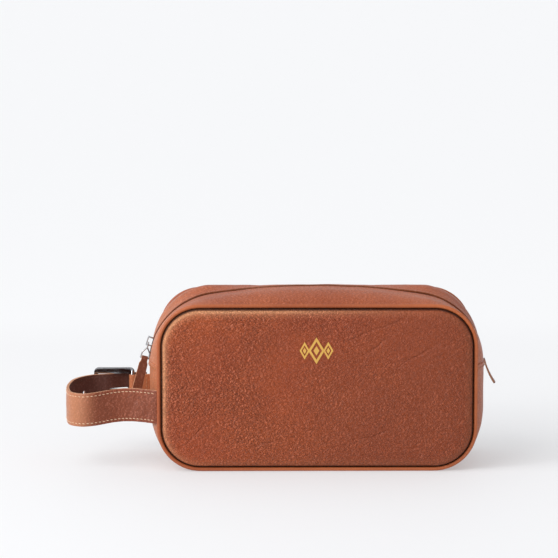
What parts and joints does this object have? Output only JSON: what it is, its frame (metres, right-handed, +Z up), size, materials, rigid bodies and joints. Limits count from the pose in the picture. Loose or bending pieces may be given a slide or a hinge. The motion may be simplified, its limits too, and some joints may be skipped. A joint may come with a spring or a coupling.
{
  "type": "shaving kit bag",
  "caption": "Box-shaped leather wash bag with piped seams, a zip over the top, leather pulls and a buckled side strap.",
  "frame": {"origin": "centre of the flat base, where the bag stands", "axes": "+X across the bag from the strap side to the plain side, +Y from the front panel to the back panel, +Z up"},
  "size_m": [0.3662, 0.1146, 0.149],
  "materials": {
    "panel_leather": "pebbled, soft sheen",
    "gusset_leather": "smooth grain, soft sheen",
    "piping_leather": "smooth, rubbed edges",
    "strap_leather": "creased grain, stitched",
    "pull_leather": "smooth with raw cut edges",
    "lining_fabric": "plain woven",
    "zip_tape": "herringbone woven",
    "zip_coil": "nylon coil",
    "zip_metal": "bright nickel plate",
    "buckle_metal": "polished nickel plate"
  },
  "bodies": {
    "shell": {"back_panel": "panel_leather", "back_panel_lining": "lining_fabric", "back_piping": "piping_leather", "front_panel": "panel_leather", "front_panel_lining": "lining_fabric", "front_piping": "piping_leather", "front_strip_coil_ends": "zip_coil", "front_strip_ends": "gusset_leather", "front_strip_lining_ends": "lining_fabric", "front_strip_tape_ends": "zip_tape", "lower_gusset": "gusset_leather", "lower_gusset_lining": "lining_fabric", "rear_strip_coil_ends": "zip_coil", "rear_strip_ends": "gusset_leather", "rear_strip_lining_ends": "lining_fabric", "rear_strip_tape_ends": "zip_tape", "zip_bottom_stop": "zip_metal", "zip_top_stops": "zip_metal"},
    "front_lip": {"front_lip": "gusset_leather", "front_lip_coil": "zip_coil", "front_lip_lining": "lining_fabric", "front_lip_tape": "zip_tape"},
    "rear_lip": {"rear_lip": "gusset_leather", "rear_lip_coil": "zip_coil", "rear_lip_lining": "lining_fabric", "rear_lip_tape": "zip_tape"},
    "slider": {"slider_body": "zip_metal", "slider_bridge": "zip_metal"},
    "puller": {"puller_link": "zip_metal"},
    "pull_tab": {"pull_tab": "pull_leather"},
    "grip_tab": {"grip_tab": "pull_leather"},
    "strap_loop": {"strap_outer": "strap_leather", "strap_inner": "strap_leather", "buckle_tab": "strap_leather"},
    "buckle": {"buckle_frame": "buckle_metal"},
    "prong": {"buckle_prong": "buckle_metal"}
  },
  "joints": [
    {"name": "zip_slider", "type": "hinge", "parent": "shell", "child": "slider", "pos_m": [-0.0805, 0, 0.08392], "axis": [0, 1, 0], "range_deg": [0, 60]},
    {"name": "puller", "type": "hinge", "parent": "slider", "child": "puller", "pos_m": [-0.14199, 0, 0.10017], "axis": [0, 1, 0], "range_deg": [0, 100]},
    {"name": "pull_tab", "type": "hinge", "parent": "puller", "child": "pull_tab", "pos_m": [-0.14516, 0, 0.08746], "axis": [0.9703, 0, -0.2419], "range_deg": [-60, 60]},
    {"name": "front_lip", "type": "hinge", "parent": "shell", "child": "front_lip", "pos_m": [0, -0.0479, 0.1392], "axis": [1, 0, 0], "range_deg": [0, 45]},
    {"name": "rear_lip", "type": "hinge", "parent": "shell", "child": "rear_lip", "pos_m": [0, 0.0479, 0.1392], "axis": [-1, 0, 0], "range_deg": [0, 45]},
    {"name": "grip_tab", "type": "hinge", "parent": "shell", "child": "grip_tab", "pos_m": [0.1416, 0, 0.0862], "axis": [0, -1, 0], "range_deg": [-10, 90], "stiffness_Nm_per_rad": 0.002, "springref_deg": 0.34},
    {"name": "strap_swing", "type": "hinge", "parent": "shell", "child": "strap_loop", "pos_m": [-0.1349, 0, 0.052], "axis": [0, 1, 0], "range_deg": [-25, 25], "stiffness_Nm_per_rad": 0.15, "springref_deg": 4.18},
    {"name": "buckle_swing", "type": "hinge", "parent": "strap_loop", "child": "buckle", "pos_m": [-0.157, 0.043, 0.052], "axis": [0, 0, -1], "range_deg": [-2, 6]},
    {"name": "prong_swing", "type": "hinge", "parent": "buckle", "child": "prong", "pos_m": [-0.157, 0.043, 0.052], "axis": [0, 0, -1], "range_deg": [0, 6]}
  ]
}
